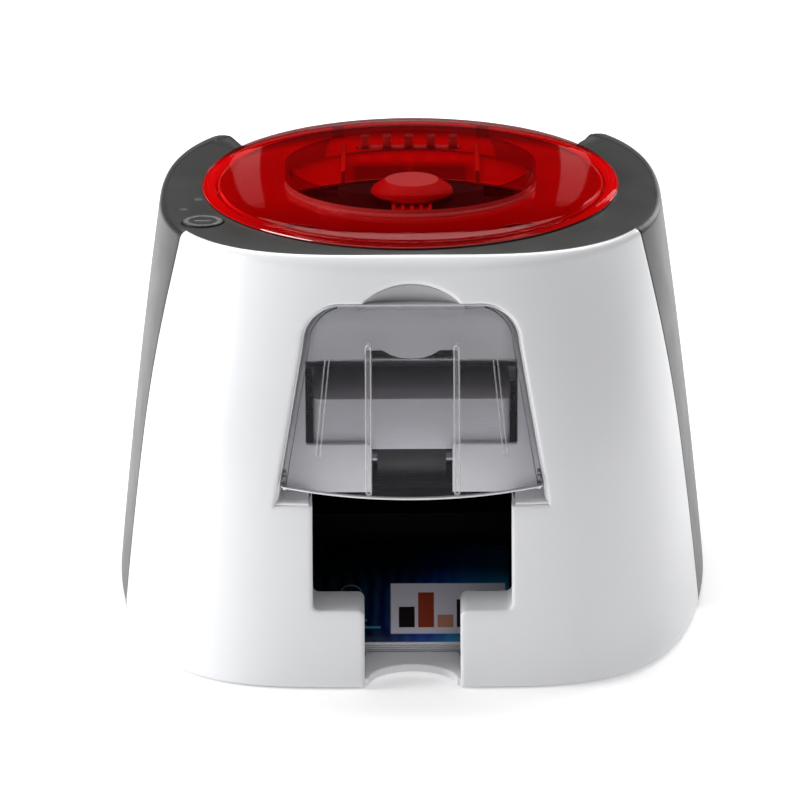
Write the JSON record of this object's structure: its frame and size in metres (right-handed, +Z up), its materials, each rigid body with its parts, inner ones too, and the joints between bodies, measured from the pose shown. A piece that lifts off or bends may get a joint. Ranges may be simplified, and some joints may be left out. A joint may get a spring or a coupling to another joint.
{
  "type": "id card printer",
  "caption": "Desktop card printer with a red tinted top lid, a smoked card feeder cover, a front card hopper and a roller, ribbon and print head mechanism inside.",
  "frame": {"origin": "under the middle of the body, on the surface that the feet stand on", "axes": "+Z up, -Y towards the front with the card openings, +X to the right seen from the front"},
  "size_m": [0.2662, 0.3755, 0.2022],
  "materials": {
    "white_shell": "satin gloss white",
    "white_liner": "satin white",
    "dark_shell": "fine-grained anthracite",
    "dark_inner": "black",
    "black_gloss": "glossy black",
    "rubber": "matt",
    "roller_rubber": "ground rubber",
    "steel": "plain",
    "bronze": "sintered",
    "blank_card": "card laminate",
    "printed_card": null,
    "motor": "black",
    "pulley": "natural",
    "gear": "natural",
    "belt": "matt",
    "ribbon": "dye film",
    "red_tint": "clear red",
    "red_inner": "satin red",
    "smoke_tint": "clear smoke grey",
    "ceramic": "glazed line",
    "heat_sink": "extruded",
    "board": "solder mask",
    "light_guide": "clear"
  },
  "bodies": {
    "root": {"base_plate": "dark_shell", "rubber_feet": "rubber", "front_cover": "white_shell", "rear_casing": "dark_shell", "top_frame": "dark_shell", "feeder_bezel": "white_liner", "output_bezel": "white_liner", "output_tray": "white_liner", "output_hopper": "black_gloss", "feeder_tray": "dark_inner", "left_side_frame": "steel", "right_side_frame": "steel", "cross_rails": "steel", "shaft_bushes": "bronze", "blank_cards": "blank_card", "printed_cards": "printed_card", "drive_motor": "motor", "drive_belt": "belt", "pick_belt": "belt", "ribbon_cassette": "dark_inner", "ribbon_film": "ribbon", "ribbon_motor": "motor", "lid_hinge_brackets": "dark_shell", "lid_hinge_pins": "steel", "button_board": "board", "light_guides": "light_guide", "main_board": "board", "power_inlet": "dark_inner", "usb_port": "steel", "chassis_screws": "steel"},
    "lid": {"lid": "red_tint", "lid_frame": "dark_inner", "head_carrier": "dark_inner", "print_head": "ceramic", "heat_sink": "heat_sink", "head_knob": "red_inner", "guide_comb": "white_liner"},
    "feeder_cover": {"feeder_cover": "smoke_tint"},
    "power_button": {"power_button": "dark_shell"},
    "motor_pulley": {"motor_pulley": "pulley"},
    "platen_roller": {"platen_roller": "roller_rubber", "platen_shaft": "steel", "platen_pulley": "pulley"},
    "feed_roller": {"feed_roller": "roller_rubber", "feed_shaft": "steel", "feed_pulleys": "pulley"},
    "transport_roller": {"transport_roller": "roller_rubber", "transport_shaft": "steel", "transport_pulley": "pulley"},
    "pick_roller": {"pick_roller": "roller_rubber", "pick_shaft": "steel", "pick_pulley": "pulley"},
    "front_pinch_roller": {"front_pinch_roller": "roller_rubber"},
    "rear_pinch_roller": {"rear_pinch_roller": "roller_rubber"},
    "diverter_flap": {"diverter_flap": "dark_inner"},
    "thickness_gate": {"thickness_gate": "steel"},
    "takeup_spool": {"takeup_spool": "ribbon", "takeup_gear": "gear"},
    "supply_spool": {"supply_spool": "ribbon"},
    "ribbon_pinion": {"ribbon_pinion": "gear"}
  },
  "joints": [
    {"name": "lid_hinge", "type": "hinge", "parent": "root", "child": "lid", "pos_m": [0, 0.062, 0.1826], "axis": [-1, 0, 0], "range_deg": [0, 70]},
    {"name": "feeder_cover_hinge", "type": "hinge", "parent": "root", "child": "feeder_cover", "pos_m": [0, -0.171, 0.091], "axis": [1, 0, 0], "range_deg": [0, 93]},
    {"name": "power_button_press", "type": "slide", "parent": "root", "child": "power_button", "axis": [0, 0, -1], "range_m": [0, 0.0009], "stiffness_N_per_m": 600},
    {"name": "platen_spin", "type": "hinge", "parent": "root", "child": "platen_roller", "pos_m": [0, -0.045, 0.09], "axis": [1, 0, 0], "continuous": true},
    {"name": "motor_spin", "type": "hinge", "parent": "root", "child": "motor_pulley", "pos_m": [0.067, -0.045, 0.05], "axis": [1, 0, 0], "continuous": true},
    {"name": "feed_spin", "type": "hinge", "parent": "root", "child": "feed_roller", "pos_m": [0, -0.084, 0.092], "axis": [1, 0, 0], "continuous": true},
    {"name": "transport_spin", "type": "hinge", "parent": "root", "child": "transport_roller", "pos_m": [0, -0.006, 0.092], "axis": [1, 0, 0], "continuous": true},
    {"name": "pick_spin", "type": "hinge", "parent": "root", "child": "pick_roller", "pos_m": [0, -0.138, 0.0906], "axis": [1, 0, 0], "continuous": true},
    {"name": "front_pinch_spin", "type": "hinge", "parent": "root", "child": "front_pinch_roller", "pos_m": [0, -0.084, 0.1048], "axis": [1, 0, 0], "continuous": true},
    {"name": "rear_pinch_spin", "type": "hinge", "parent": "root", "child": "rear_pinch_roller", "pos_m": [0, -0.006, 0.1048], "axis": [1, 0, 0], "continuous": true},
    {"name": "diverter_swing", "type": "hinge", "parent": "root", "child": "diverter_flap", "pos_m": [0, -0.075, 0.083], "axis": [1, 0, 0], "range_deg": [0, 60]},
    {"name": "thickness_gate_slide", "type": "slide", "parent": "root", "child": "thickness_gate", "axis": [0, 0, 1], "range_m": [0, 0.001]},
    {"name": "takeup_spin", "type": "hinge", "parent": "root", "child": "takeup_spool", "pos_m": [0, -0.105, 0.15], "axis": [1, 0, 0], "continuous": true},
    {"name": "ribbon_pinion_spin", "type": "hinge", "parent": "root", "child": "ribbon_pinion", "pos_m": [-0.067, -0.1242, 0.1692], "axis": [1, 0, 0], "continuous": true},
    {"name": "supply_spin", "type": "hinge", "parent": "root", "child": "supply_spool", "pos_m": [0, 0.01, 0.15], "axis": [1, 0, 0], "continuous": true}
  ],
  "couplings": [
    {"joint": "motor_spin", "follows": "platen_spin", "ratio": 1.6667},
    {"joint": "feed_spin", "follows": "platen_spin", "ratio": 1.25},
    {"joint": "transport_spin", "follows": "platen_spin", "ratio": 1.25},
    {"joint": "pick_spin", "follows": "platen_spin", "ratio": 1.4286},
    {"joint": "front_pinch_spin", "follows": "platen_spin", "ratio": -1.25},
    {"joint": "rear_pinch_spin", "follows": "platen_spin", "ratio": -1.25},
    {"joint": "ribbon_pinion_spin", "follows": "takeup_spin", "ratio": -2}
  ]
}
